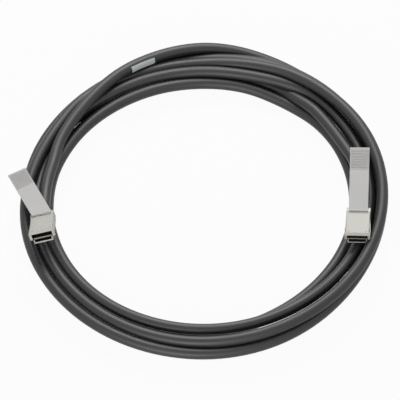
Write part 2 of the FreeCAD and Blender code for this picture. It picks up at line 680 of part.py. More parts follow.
def wire_comb(side):
    """Plastic comb that keeps the pairs in order behind the card."""
    name = f"wire_comb_{side}"
    thickness = value("comb_thickness")
    start = value("cavity_end + comb_gap")
    half = value("throat_width") / 2 - FIT
    low = value("floor_wall") + FIT
    high = value("plug_height - top_wall") - FIT
    block = Part.makeBox(2 * half, thickness, high - low, Vector(-half, start, low))
    radius = value("pair_diameter") / 2 + FIT / 2
    notches = []
    for face in ("upper", "lower"):
        for front, back in pair_lines(face):
            here, there = (front + (back - front) * ((y - front.y) / (back.y - front.y))
                           for y in (start, start + thickness))
            left, right = min(here.x, there.x) - radius, max(here.x, there.x) + radius
            if face == "upper":
                bottom, top = min(here.z, there.z) - radius, high + 1
            else:
                bottom, top = low - 1, max(here.z, there.z) + radius
            notches.append(Part.makeBox(right - left, thickness + 2, top - bottom,
                                        Vector(left, start - 1, bottom)))
    block = block.cut(notches)
    comb = doc.addObject("Part::Feature", name)
    comb.Shape = block
    return comb


# ---------------------------------------------------------------- where the cable is held


def crimp_ferrule(side):
    """Six-sided crimped sleeve that clamps the cable's shield just inside the shells."""
    name = f"crimp_ferrule_{side}"
    start = (0, "shell_length - back_wall - ferrule_length", "cable_height")
    sleeve = bar(name + "_sleeve", start, "ferrule_flats / sqrt(3)", "ferrule_length", 6, axis="y")
    bore = rod(name + "_bore", start, f"core_diameter / 2 + {FIT / 2}", "ferrule_length", axis="y")
    return cut(name, sleeve, bore)


def cable_core(side):
    """Shielded bundle between the ferrule and the end of the jacket."""
    name = f"cable_core_{side}"
    bundle = rod(name + "_bundle", (0, "shell_length - back_wall - ferrule_length", "cable_height"),
                 "core_diameter / 2", "ferrule_length + back_wall + core_in_boot", axis="y")
    return group(name, bundle)


def cable_boot(side):
    """Moulded strain relief: a cone with flats above and below, and bending grooves in its sides."""
    name = f"cable_boot_{side}"
    start = (0, "shell_length", "cable_height")
    taper = cone(name + "_taper", start, "boot_front / 2", "boot_back / 2", "boot_length")
    slab = box(name + "_slab", ("-boot_front", "shell_length - 1", "cable_height - boot_flat / 2"),
               ("2 * boot_front", "boot_length + 2", "boot_flat"))
    bore = rod(name + "_bore", start, f"core_diameter / 2 + {FIT / 2}", "core_in_boot", axis="y")
    under_slider = box(name + "_step", ("-boot_front", "shell_length - 1",
                                        "plug_height - slider_sheet - slider_play"),
                       ("2 * boot_front", "1 + slider_travel + 3 * slider_play", "boot_front"))
    tools = [bore, under_slider]
    for number in range(int(value("groove_count"))):
        for hand, start_x in (("left", "-boot_front"), ("right", "boot_back / 2 - groove_depth")):
            tools.append(box(f"{name}_groove_{hand}_{number}",
                             (start_x, f"shell_length + groove_from + {number} * groove_pitch",
                              "cable_height - boot_flat"),
                             ("boot_front - boot_back / 2 + groove_depth", "groove_width",
                              "2 * boot_flat")))
    return cut(name, common(name + "_body", taper, slab), *tools)


# ---------------------------------------------------------------- cable


def turned(side):
    """How a plug is tipped: yaw about the upright, then nose up, then right side up."""
    yaw = Rotation(Vector(0, 0, 1), value(f"yaw_angle_{side}"))
    pitch = Rotation(Vector(1, 0, 0), -value(f"pitch_angle_{side}"))
    roll = Rotation(Vector(0, 1, 0), -value(f"roll_angle_{side}"))
    return yaw * pitch * roll


def cable_exit(side):
    return Vector(*(value(f"exit_{side}_{axis}") for axis in "xyz"))


def plug_placement(side):
    """Puts the plug so that the back of its boot is where the cable leaves it."""
    turn = turned(side)
    boot_end = Vector(0, value("shell_length + boot_length"), value("cable_height"))
    return Placement(cable_exit(side) - turn.multVec(boot_end), turn)


def rounded_path(points):
    """Straight runs joined by tangent arcs, and the radius of each arc."""
    edges, radii = [], []
    start = points[0]
    for before, corner, after in zip(points, points[1:], points[2:]):
        back, forward = (before - corner), (after - corner)
        turn = math.pi - back.getAngle(forward)
        trim = 0.45 * min(back.Length, forward.Length)
        radii.append(trim / math.tan(turn / 2))
        back.normalize()
        forward.normalize()
        first, last = corner + back * trim, corner + forward * trim
        inwards = back + forward
        inwards.normalize()
        centre = corner + inwards * (radii[-1] / math.cos(turn / 2))
        middle = centre - inwards * radii[-1]
        edges.append(Part.LineSegment(start, first).toShape())
        edges.append(Part.Arc(first, middle, last).toShape())
        start = last
    edges.append(Part.LineSegment(start, points[-1]).toShape())
    return Part.Wire(edges), radii


def lead(side):
    """Cable between a boot and the turns."""
    start = cable_exit(side)
    straight = start + turned(side).multVec(Vector(0, value("lead_run"), 0))
    points = [start, straight, start + Vector(*LEAD_ENDS[side])]
    path, radii = rounded_path(points)
    radius = value("cable_diameter") / 2
    section = Part.Wire([Part.makeCircle(radius, start, straight - start)])
    tube = doc.addObject("Part::Feature", f"cable_lead_{side}")
    tube.Shape = path.makePipeShell([section], True, False)
    share = tube.Shape.Volume / (math.pi * radius**2 * path.Length)
    print(f"cable_lead_{side}: length {path.Length:.1f}, radii",
          [round(r, 1) for r in radii], f"volume over section times length {share:.4f}")
    return tube


def cable_coil():
    """The outer shape of the bundle of turns: a ring with bevelled edges."""
    body = doc.addObject("PartDesign::Body", "cable_coil")
    sketch = body.newObject("Sketcher::SketchObject", "cable_coil_section")
    plane = next(item for item in body.Origin.OriginFeatures if item.Role == "XZ_Plane")
    sketch.AttachmentSupport = (plane, [""])
    sketch.MapMode = "FlatFace"
    inner, outer = "coil_radius - coil_bundle / 2", "coil_radius + coil_bundle / 2"
    outline(sketch, ((inner, "0"), (outer, "0"), (outer, "coil_height"), (inner, "coil_height")))
    ring = body.newObject("PartDesign::Revolution", "cable_coil_ring")
    ring.Profile = sketch
    ring.ReferenceAxis = (sketch, ["V_Axis"])
    ring.Angle = 360
    doc.recompute()
    top = value("coil_height")
    for name, height, size in (("cable_coil_top", top, "coil_top_bevel"),
                               ("cable_coil_foot", 0.0, "coil_foot_bevel")):
        base = body.Tip
        wanted = [f"Edge{number}" for number, edge in enumerate(base.Shape.Edges, 1)
                  if abs(edge.BoundBox.ZMax - height) < 1e-6 and edge.BoundBox.ZLength < 1e-6]
        bevel = body.newObject("PartDesign::Chamfer", name)
        bevel.Base = (base, wanted)
        bevel.setExpression("Size", bound(size))
        doc.recompute()
    return body


# ---------------------------------------------------------------- the whole cable

PLUG_PARTS = (
    ("upper_shell", upper_shell),
    ("lower_shell", lower_shell),
    ("shell_screws", shell_screws),
    ("emi_spring", emi_spring),
    ("latch_slider", latch_slider),
    ("pull_tab", pull_tab),
    ("return_springs", return_springs),
    ("paddle_card", paddle_card),
    ("contact_pads", contact_pads),
    ("memory_chip", memory_chip),
    ("capacitors", capacitors),
    ("ground_bars", ground_bars),
    ("wire_pairs_upper", lambda side: wire_pairs(side, "upper")),
    ("wire_pairs_lower", lambda side: wire_pairs(side, "lower")),
    ("wire_comb", wire_comb),
    ("crimp_ferrule", crimp_ferrule),
    ("cable_core", cable_core),
    ("cable_boot", cable_boot),
)


coil = cable_coil()
coil.setExpression("Placement.Base.x", bound("coil_x"))
coil.setExpression("Placement.Base.y", bound("coil_y"))
finish(coil, "cable_coil")
for side in ("a", "b"):
    finish(lead(side), f"cable_lead_{side}")
    for part_name, build in PLUG_PARTS:
        finish(build(side), f"{part_name}_{side}", plug_placement(side))

doc.recompute()
for thing in doc.Objects:
    if "Invalid" in thing.State or "Error" in thing.State:
        raise RuntimeError(f"{thing.Label} did not build: {thing.State}")
for thing in nodes:
    if thing.Shape.isNull() or not thing.Shape.isValid():
        raise RuntimeError(f"{thing.Label} is not a sound solid")

os.makedirs("parts", exist_ok=True)
for thing in nodes:
    thing.Shape.exportStep(os.path.join("parts", f"{thing.Label}.step"))
print(len(nodes), "nodes written")
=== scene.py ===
"""Direct attach copper cable: the looks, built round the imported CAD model. Metres, +Z up."""
import math

import bmesh
import bpy
import numpy as np
from mathutils import Matrix, Vector


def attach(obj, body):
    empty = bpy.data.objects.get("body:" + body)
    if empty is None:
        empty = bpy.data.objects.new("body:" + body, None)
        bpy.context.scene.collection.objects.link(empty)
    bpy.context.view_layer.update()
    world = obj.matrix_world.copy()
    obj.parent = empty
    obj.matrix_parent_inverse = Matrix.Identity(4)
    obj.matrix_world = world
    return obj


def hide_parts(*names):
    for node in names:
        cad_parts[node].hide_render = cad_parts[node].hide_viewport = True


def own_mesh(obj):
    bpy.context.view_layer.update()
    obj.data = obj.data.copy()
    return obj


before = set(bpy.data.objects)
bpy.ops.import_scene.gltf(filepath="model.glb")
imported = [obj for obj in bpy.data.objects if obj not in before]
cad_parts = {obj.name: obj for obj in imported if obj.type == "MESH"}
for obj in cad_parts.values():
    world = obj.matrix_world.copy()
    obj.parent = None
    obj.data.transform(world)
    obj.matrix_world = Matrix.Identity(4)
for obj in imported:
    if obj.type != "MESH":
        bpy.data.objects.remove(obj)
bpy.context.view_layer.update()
SIDES = ("a", "b")

# ---------------------------------------------------------------- where the plugs lie

PLUG_EXIT = {"a": Vector((-0.1083, -0.0163, 0.0235)), "b": Vector((0.1113, -0.0070, 0.0203))}
PLUG_ANGLES = {"a": (-1.5, 22.5, 17.0), "b": (-3.0, 4.0, 2.0)}  # yaw, nose up, right side up
BOOT_END = Vector((0, 0.0325, 0.00425))  # in the plug's own frame: x across, y back, z up


def plug_turn(side):
    yaw, pitch, roll = (math.radians(angle) for angle in PLUG_ANGLES[side])
    return (Matrix.Rotation(yaw, 3, "Z") @ Matrix.Rotation(-pitch, 3, "X")
            @ Matrix.Rotation(-roll, 3, "Y"))


def in_plug(side, point):
    """A place given in a plug's own frame, in millimetres, as a place in the scene."""
    return PLUG_EXIT[side] + plug_turn(side) @ (Vector(point) / 1000 - BOOT_END)


# ---------------------------------------------------------------- the cable's line

CABLE_DIAMETER = 0.0081
RING_CENTRE = (0.0033, 0.0055)
VIEW_HEIGHT = math.radians(57.5)
# Route from the left boot down onto the turns, and from the turns up into the right boot.
FROM_LEFT_BOOT = [(-0.1083, -0.0163, 0.0235), (-0.1080, -0.0030, 0.0212),
                  (-0.1058, 0.0125, 0.0202), (-0.1019, 0.0270, 0.0194)]
INTO_RIGHT_BOOT = [(0.1058, 0.0356, 0.0150), (0.1103, 0.0218, 0.0168),
                   (0.1120, 0.0066, 0.0193), (0.1113, -0.0070, 0.0203)]
# Where the camera sees the cable along its turns, read and altered: degrees clockwise
# past +Y, counted on from turn to turn; distance from the ring's centre as a share of
# RING_REACH, as if the cable lay on the floor; and height in millimetres.
STRANDS = (
    (285, 0.857, 16.5), (300, 0.865, 18.0), (310, 0.875, 18.5), (320, 0.915, 18.0),
    (330, 0.9375, 15.5), (340, 0.96, 12.5), (350, 0.98, 9.0), (360, 0.976, 6.5),
    (370, 0.965, 4.5), (390, 0.95, 4.1), (420, 0.93, 4.1), (450, 0.92, 4.1), (480, 0.92, 4.1),
    (510, 0.925, 4.1), (540, 0.925, 4.1), (570, 0.93, 4.1), (600, 0.95, 4.1), (625, 0.965, 4.1),
    (643, 0.954, 5.0), (660, 0.935, 5.0), (670, 0.923, 5.0), (690, 0.91, 5.5), (710, 0.915, 7.0),
    (720, 0.924, 8.5), (735, 0.943, 10.5), (750, 0.953, 12.0), (765, 0.962, 12.0),
    (780, 0.96, 12.0), (810, 0.955, 12.0), (840, 0.93, 11.0), (855, 0.931, 10.5),
    (870, 0.954, 10.5), (900, 0.96, 10.5), (920, 0.965, 11.0), (950, 0.975, 12.0),
    (970, 0.98, 12.0), (985, 0.972, 12.5), (1003, 0.915, 12.0), (1020, 0.89, 11.5),
    (1050, 0.89, 9.0), (1070, 0.865, 8.0), (1080, 0.862, 8.0), (1095, 0.885, 10.0),
    (1110, 0.922, 14.0), (1125, 0.947, 17.5), (1140, 0.968, 19.5), (1150, 0.974, 19.8),
    (1160, 0.969, 19.8), (1170, 0.959, 19.5), (1190, 0.936, 19.0), (1205, 0.917, 18.0),
    (1230, 0.888, 16.0), (1260, 0.885, 14.0), (1280, 0.89, 13.0), (1310, 0.905, 12.0),
    (1330, 0.91, 11.0), (1350, 0.90, 9.0), (1365, 0.885, 6.0), (1392, 0.875, 5.0),
    (1400, 0.86, 7.0), (1430, 0.825, 10.5), (1440, 0.821, 11.0), (1455, 0.835, 11.0),
    (1470, 0.863, 10.5), (1485, 0.875, 10.0), (1500, 0.89, 10.0), (1530, 0.906, 10.5),
    (1550, 0.869, 11.0), (1565, 0.85, 11.0), (1590, 0.811, 11.5), (1620, 0.805, 12.0),
    (1640, 0.812, 12.0), (1670, 0.845, 12.0), (1690, 0.853, 10.5), (1710, 0.85, 8.5),
    (1725, 0.82, 8.5), (1740, 0.803, 10.5), (1750, 0.79, 10.0), (1760, 0.77, 10.0),
    (1775, 0.76, 10.5), (1790, 0.755, 11.0), (1800, 0.758, 11.0), (1815, 0.766, 9.0),
    (1830, 0.783, 6.0), (1845, 0.798, 4.5), (1860, 0.805, 4.1), (1890, 0.81, 4.1),
    (1910, 0.812, 4.1), (1925, 0.797, 4.1), (1950, 0.795, 4.1), (1980, 0.845, 4.1),
    (2010, 0.865, 4.1), (2050, 0.86, 4.1), (2070, 0.84, 4.1), (2100, 0.845, 4.1),
    (2110, 0.84, 4.1), (2120, 0.83, 4.1), (2135, 0.80, 4.1), (2160, 0.775, 4.1),
    (2175, 0.79, 4.5), (2190, 0.826, 7.0), (2205, 0.857, 11.0), (2215, 0.85, 12.8),
)
RING_REACH = 130.2  # millimetres
UNSEEN = ((385, 632), (1355, 1398), (1965, 2108), (2140, 2200))  # stretches under other turns
FIRST_CLOCK, LAST_CLOCK, CLOCK_STEP = 290, 2210, 10
SEEN_BLUR, HEIGHT_BLUR = 6, 9  # degrees over which the strands' values are smoothed
SEEN_HOLD, UNSEEN_HOLD, HEIGHT_HOLD = 0.35, 0.12, 0.12  # share of the way back in each round
DISTANCE_EASE, HEIGHT_EASE = 0.15, 0.12  # share of the way to the neighbours' middle
EASING_ROUNDS = 1500
LOOSE_FROM, LOOSE_GRIP = 0.8, 0.15  # the last rounds hold the strands less, and part the turns more
TURN_GAP = 8.25  # millimetres that the easing aims for between the middles of touching turns
RESTING_HEIGHT = 4.05  # millimetres
OUTWARDS = 1.0038  # the line runs a little inside its control points


def smoothed(values, width):
    """Values a degree apart, each blended with its neighbours."""
    reach = np.arange(-3 * width, 3 * width + 1)
    weights = np.exp(-0.5 * (reach / width) ** 2)
    return np.convolve(np.pad(values, 3 * width, mode="edge"), weights / weights.sum(), "valid")


def turn_points():
    """The turns' control points, 36 to a turn: the strands, smoothed and then eased apart where
    they cut into each other. The easing isn't complete: some crossings still overlap a little."""
    clock, seen, height = (np.array(column, float) for column in zip(*STRANDS))
    degrees = np.arange(clock[0], clock[-1] + 1)
    at = np.arange(FIRST_CLOCK, LAST_CLOCK + 1, CLOCK_STEP)
    aim = RING_REACH * np.interp(at, degrees, smoothed(np.interp(degrees, clock, seen), SEEN_BLUR))
    rise = np.interp(at, degrees, smoothed(np.interp(degrees, clock, height), HEIGHT_BLUR))
    lean = np.cos(np.radians(at)) / math.tan(VIEW_HEIGHT)
    hold = np.full(len(at), SEEN_HOLD)
    for start, end in UNSEEN:
        hold[(at > start) & (at < end)] = UNSEEN_HOLD
    z = rise.copy()
    r = aim - lean * z
    turn = 360 // CLOCK_STEP
    for step in range(EASING_ROUNDS):
        grip = 1.0 if step < LOOSE_FROM * EASING_ROUNDS else LOOSE_GRIP
        r += grip * hold * (aim - (r + lean * z))
        z += grip * HEIGHT_HOLD * (rise - z)
        for values, share in ((r, DISTANCE_EASE), (z, HEIGHT_EASE)):
            values[1:-1] += share * (0.5 * (values[:-2] + values[2:]) - values[1:-1])
        for lag in range(turn, len(at), turn):
            apart = np.stack((r[lag:] - r[:-lag], z[lag:] - z[:-lag]))
            length = np.maximum(np.hypot(*apart), 1e-6)
            push = apart * np.clip(TURN_GAP - length, 0, None) * 0.5 / length
            r[:-lag] -= push[0]
            z[:-lag] -= push[1]
            r[lag:] += push[0]
            z[lag:] += push[1]
        z[:] = np.maximum(z, RESTING_HEIGHT)
    reach = r * OUTWARDS / 1000
    angle = np.radians(at)
    return [(RING_CENTRE[0] + d * math.sin(c), RING_CENTRE[1] + d * math.cos(c), h / 1000)
            for d, c, h in zip(reach, angle, z)]


LINE_STEPS, CLOSE_LINE_STEPS = 4, 40  # steps between control points: cable, and line read back


def cable_curve(name, thickness):
    """The whole cable from boot to boot, this thick."""
    points = FROM_LEFT_BOOT + turn_points() + INTO_RIGHT_BOOT
    curve = bpy.data.curves.new(name, "CURVE")
    curve.dimensions = "3D"
    curve.bevel_depth = thickness / 2
    curve.bevel_resolution = 7
    curve.resolution_u = LINE_STEPS
    curve.use_fill_caps = thickness > 0
    line = curve.splines.new("NURBS")
    line.points.add(len(points) - 1)
    for place, point in zip(line.points, points):
        place.co = (*point, 1.0)
    line.order_u = 3
    line.use_endpoint_u = True
    piece = bpy.data.objects.new(name, curve)
    bpy.context.scene.collection.objects.link(piece)
    return piece


def followed_line():
    """Points read from the cable's own line."""
    thin = cable_curve("cable_line", 0)
    thin.data.resolution_u = CLOSE_LINE_STEPS
    mesh = bpy.data.meshes.new_from_object(thin)
    points = [vertex.co.copy() for vertex in mesh.vertices]
    bpy.data.meshes.remove(mesh)
    bpy.data.objects.remove(thin)
    return points


# ---------------------------------------------------------------- the camera

VIEW_WIDTH = 0.280


def camera():
    lens = bpy.data.cameras.new("camera")
    lens.lens = 900
    lens.clip_end = 50
    thing = bpy.data.objects.new("camera", lens)
    bpy.context.scene.collection.objects.link(thing)
    bpy.context.scene.camera = thing
    aim = Vector((0.0002, 0.0068, 0.0))
    back = Vector((0, -math.cos(VIEW_HEIGHT), math.sin(VIEW_HEIGHT)))
    thing.location = aim + back * (VIEW_WIDTH * lens.lens / lens.sensor_width)
    thing.rotation_euler = (-back).to_track_quat("-Z", "Y").to_euler()


# ---------------------------------------------------------------- finishes


def effect(name, inputs, outputs):
    """An empty effect that several finishes share, with its named inputs and outputs."""
    group = bpy.data.node_groups.new(name, "ShaderNodeTree")
    for title, kind, default in inputs:
        group.interface.new_socket(title, in_out="INPUT", socket_type=kind).default_value = default
    for title, kind in outputs:
        group.interface.new_socket(title, in_out="OUTPUT", socket_type=kind)
    return group, group.nodes.new("NodeGroupInput"), group.nodes.new("NodeGroupOutput")


def mottle_effect():
    """Slow changes of shade over a surface, with a fine grain on top: a shade from 0 to 1."""
    group, given, result = effect(
        "mottle", (("Place", "NodeSocketVector", (0, 0, 0)), ("Patch size", "NodeSocketFloat", 60.0),
                   ("Grain size", "NodeSocketFloat", 900.0), ("Grain share", "NodeSocketFloat", 0.4)),
        (("Shade", "NodeSocketFloat"), ("Grain", "NodeSocketFloat")))
    link = group.links.new
    patches = group.nodes.new("ShaderNodeTexNoise")
    patches.inputs["Detail"].default_value = 3
    grain = group.nodes.new("ShaderNodeTexNoise")
    grain.inputs["Detail"].default_value = 2
    for noise, size in ((patches, "Patch size"), (grain, "Grain size")):
        link(given.outputs["Place"], noise.inputs["Vector"])
        link(given.outputs[size], noise.inputs["Scale"])
    blend = group.nodes.new("ShaderNodeMix")
    link(given.outputs["Grain share"], blend.inputs["Factor"])
    link(patches.outputs["Fac"], blend.inputs["A"])
    link(grain.outputs["Fac"], blend.inputs["B"])
    link(blend.outputs["Result"], result.inputs["Shade"])
    link(grain.outputs["Fac"], result.inputs["Grain"])
    return group


def scratch_effect():
    """Fine lines along one direction, as brushing or sliding leaves them."""
    group, given, result = effect(
        "fine_lines", (("Place", "NodeSocketVector", (0, 0, 0)),
                       ("Stretch", "NodeSocketVector", (1, 1, 1))), (("Lines", "NodeSocketFloat"),))
    link = group.links.new
    stretch = group.nodes.new("ShaderNodeVectorMath")
    stretch.operation = "MULTIPLY"
    link(given.outputs["Place"], stretch.inputs[0])
    link(given.outputs["Stretch"], stretch.inputs[1])
    noise = group.nodes.new("ShaderNodeTexNoise")
    noise.inputs["Scale"].default_value = 1.0
    noise.inputs["Detail"].default_value = 4
    link(stretch.outputs["Vector"], noise.inputs["Vector"])
    link(noise.outputs["Fac"], result.inputs["Lines"])
    return group


def hollow_effect():
    """1 inside a box given by its middle and its half sides, and 0 outside it."""
    group, given, result = effect(
        "hollow", (("Place", "NodeSocketVector", (0, 0, 0)), ("Middle", "NodeSocketVector", (0, 0, 0)),
                   ("Half sides", "NodeSocketVector", (1, 1, 1))), (("Inside", "NodeSocketFloat"),))
    link = group.links.new
    away = group.nodes.new("ShaderNodeVectorMath")
    away.operation = "SUBTRACT"
    link(given.outputs["Place"], away.inputs[0])
    link(given.outputs["Middle"], away.inputs[1])
    size = group.nodes.new("ShaderNodeVectorMath")
    size.operation = "ABSOLUTE"
    link(away.outputs["Vector"], size.inputs[0])
    share = group.nodes.new("ShaderNodeVectorMath")
    share.operation = "DIVIDE"
    link(size.outputs["Vector"], share.inputs[0])
    link(given.outputs["Half sides"], share.inputs[1])
    parts = group.nodes.new("ShaderNodeSeparateXYZ")
    link(share.outputs["Vector"], parts.inputs["Vector"])
    widest = None
    for axis in "XYZ":
        if widest is None:
            widest = parts.outputs[axis]
            continue
        larger = group.nodes.new("ShaderNodeMath")
        larger.operation = "MAXIMUM"
        link(widest, larger.inputs[0])
        link(parts.outputs[axis], larger.inputs[1])
        widest = larger.outputs["Value"]
    inside = group.nodes.new("ShaderNodeMath")
    inside.operation = "LESS_THAN"
    inside.inputs[1].default_value = 1.0
    link(widest, inside.inputs[0])
    link(inside.outputs["Value"], result.inputs["Inside"])
    return group


MOTTLE = mottle_effect()
FINE_LINES = scratch_effect()
HOLLOW = hollow_effect()


class Finish:
    """One material: its shader's plain values are set here and its patterns are joined on."""

    def __init__(self, name, colour, roughness, metallic=0.0, specular=0.5):
        self.material = bpy.data.materials.new(name)
        self.material.use_nodes = True
        self.tree = self.material.node_tree
        self.shader = self.tree.nodes["Principled BSDF"]
        self.shader.inputs["Base Color"].default_value = (*colour, 1)
        self.shader.inputs["Roughness"].default_value = roughness
        self.shader.inputs["Metallic"].default_value = metallic
        self.shader.inputs["Specular IOR Level"].default_value = specular
        self.material.diffuse_color = (*colour, 1)
        self.place = self.tree.nodes.new("ShaderNodeTexCoord").outputs["Object"]

    def node(self, kind, **values):
        node = self.tree.nodes.new(kind)
        for name, value in values.items():
            node.inputs[name.replace("_", " ")].default_value = value
        return node

    def join(self, start, end):
        self.tree.links.new(start, end)

    def spread(self, pattern, low, high):
        """A noise pattern's middle range, stretched to run from low to high."""
        node = self.node("ShaderNodeMapRange", From_Min=0.3, From_Max=0.7, To_Min=low, To_Max=high)
        self.join(pattern, node.inputs["Value"])
        return node.outputs["Result"]

    def in_plug_frame(self, side):
        """Patterns from here on are placed in a plug's own frame, in metres."""
        turn = plug_turn(side).inverted()
        mapping = self.tree.nodes.new("ShaderNodeMapping")
        mapping.inputs["Rotation"].default_value = turn.to_euler("XYZ")
        mapping.inputs["Location"].default_value = BOOT_END - turn @ PLUG_EXIT[side]
        self.join(self.place, mapping.inputs["Vector"])
        self.place = mapping.outputs["Vector"]
        return self

    def shared(self, group, **values):
        node = self.tree.nodes.new("ShaderNodeGroup")
        node.node_tree = group
        for name, value in values.items():
            node.inputs[name.replace("_", " ")].default_value = value
        self.join(self.place, node.inputs["Place"])
        return node

    def shades(self, dark, light, **values):
        """The colour wanders between two shades."""
        mottle = self.shared(MOTTLE, **values)
        ramp = self.tree.nodes.new("ShaderNodeMix")
        ramp.data_type = "RGBA"
        ramp.inputs["A"].default_value = (*dark, 1)
        ramp.inputs["B"].default_value = (*light, 1)
        self.join(self.spread(mottle.outputs["Shade"], 0, 1), ramp.inputs["Factor"])
        self.join(ramp.outputs["Result"], self.shader.inputs["Base Color"])
        self.colour = ramp.outputs["Result"]
        self.mottle = mottle
        return self

    def rough_between(self, low, high):
        """The roughness wanders with the colour."""
        rough = self.spread(self.mottle.outputs["Shade"], low, high)
        self.join(rough, self.shader.inputs["Roughness"])
        return self

    def raised(self, height, strength, depth):
        """Small relief from a pattern."""
        bump = self.tree.nodes.new("ShaderNodeBump")
        bump.inputs["Strength"].default_value = strength
        bump.inputs["Distance"].default_value = depth
        self.join(height, bump.inputs["Height"])
        self.join(bump.outputs["Normal"], self.shader.inputs["Normal"])
        return self

    def darker_inside(self, colour, *hollows):
        """Another colour inside the plug's hollows, each given by its middle and half sides: painted
        shade in the shells' hollows.
        """
        for middle, half in hollows:
            inside = self.shared(HOLLOW, Middle=middle, Half_sides=half)
            mix = self.tree.nodes.new("ShaderNodeMix")
            mix.data_type = "RGBA"
            self.join(inside.outputs["Inside"], mix.inputs["Factor"])
            self.join(self.colour, mix.inputs["A"])
            mix.inputs["B"].default_value = (*colour, 1)
            self.join(mix.outputs["Result"], self.shader.inputs["Base Color"])
            self.colour = mix.outputs["Result"]
        return self


def jacket_finish():
    finish = Finish("cable_jacket", (0.025, 0.0247, 0.026), 0.45, specular=0.5)
    finish.shades((0.020, 0.0197, 0.021), (0.030, 0.0296, 0.031), Patch_size=45.0, Grain_size=2600.0,
                  Grain_share=0.35)
    finish.rough_between(0.40, 0.50)
    return finish.raised(finish.mottle.outputs["Grain"], 0.25, 0.0001)


def rubber_finish(name, dark, light):
    finish = Finish(name, light, 0.62, specular=0.3)
    finish.shades(dark, light, Patch_size=120.0, Grain_size=3500.0, Grain_share=0.5)
    finish.rough_between(0.55, 0.7)
    return finish.raised(finish.mottle.outputs["Grain"], 0.3, 0.0001)


# painted shade: the colour given to the shells' hollows, for the shade inside the slots
HOLLOW_PAINTED_SHADE = (0.012, 0.012, 0.008)


def cast_finish(name, side, hollows):
    """Satin plated casting, with painted shade: a near black colour in its hollows."""
    finish = Finish(name, (0.52, 0.51, 0.47), 0.55, metallic=0.15, specular=0.35).in_plug_frame(side)
    finish.shades((0.48, 0.472, 0.435), (0.56, 0.552, 0.512), Patch_size=180.0, Grain_size=4200.0,
                  Grain_share=0.45)
    finish.rough_between(0.5, 0.62)
    # painted shade over the hollows
    finish.darker_inside(HOLLOW_PAINTED_SHADE, *hollows)
    return finish.raised(finish.mottle.outputs["Grain"], 0.12, 0.00004)


def steel_finish(name, side, colour, stretch, roughness=(0.28, 0.42)):
    """Drawn or stamped steel, with fine lines the way it was worked."""
    finish = Finish(name, colour, sum(roughness) / 2, metallic=0.3, specular=0.35).in_plug_frame(side)
    finish.shades(tuple(0.92 * part for part in colour), tuple(1.06 * part for part in colour),
                  Patch_size=260.0, Grain_size=3000.0, Grain_share=0.3)
    lines = finish.shared(FINE_LINES, Stretch=stretch)
    finish.join(finish.spread(lines.outputs["Lines"], *roughness), finish.shader.inputs["Roughness"])
    return finish.raised(lines.outputs["Lines"], 0.08, 0.00003)


def strap_finish(side):
    finish = Finish(f"tab_plastic_{side}", (0.56, 0.555, 0.54), 0.45, specular=0.4).in_plug_frame(side)
    finish.shades((0.545, 0.54, 0.525), (0.585, 0.58, 0.565), Patch_size=70.0, Grain_size=2400.0,
                  Grain_share=0.3)
    finish.rough_between(0.4, 0.52)
    return finish.raised(finish.mottle.outputs["Grain"], 0.1, 0.00004)


def board_finish(side):
    """Dark solder mask, darkened further with painted shade for the slot it lies in, with the laminate
    bare along the front edge.
    """
    # the near black green is partly the solder mask and partly painted shade
    finish = Finish(f"circuit_board_painted_shade_{side}", (0.02, 0.03, 0.015), 0.45).in_plug_frame(side)
    finish.shades((0.014, 0.022, 0.011), (0.026, 0.038, 0.019), Patch_size=300.0, Grain_size=3000.0)
    finish.rough_between(0.4, 0.5)
    return finish.darker_inside((0.33, 0.32, 0.24), ((0, 0.0003, 0.0037), (0.0072, 0.00004, 0.0006)))


def even_finish(name, colour, roughness, metallic=0.0, spread=0.08):
    """A small piece's finish: one shade that wanders a little, with a fine grain."""
    finish = Finish(name, colour, roughness, metallic=metallic)
    finish.shades(tuple((1 - spread) * part for part in colour),
                  tuple((1 + spread) * part for part in colour), Patch_size=400.0, Grain_size=5000.0)
    finish.rough_between(roughness - 0.06, roughness + 0.06)
    return finish.raised(finish.mottle.outputs["Grain"], 0.08, 0.00003)


JACKET = jacket_finish().material
LABEL_FILM = even_finish("label_film", (0.66, 0.70, 0.70), 0.4, spread=0.03).material
BOOT = rubber_finish("boot_rubber", (0.030, 0.030, 0.031), (0.042, 0.042, 0.043)).material
SPRING_STEEL = even_finish("spring_steel", (0.45, 0.45, 0.45), 0.35, metallic=0.9).material

ALONG, ACROSS = (2500, 120, 2500), (120, 2500, 2500)


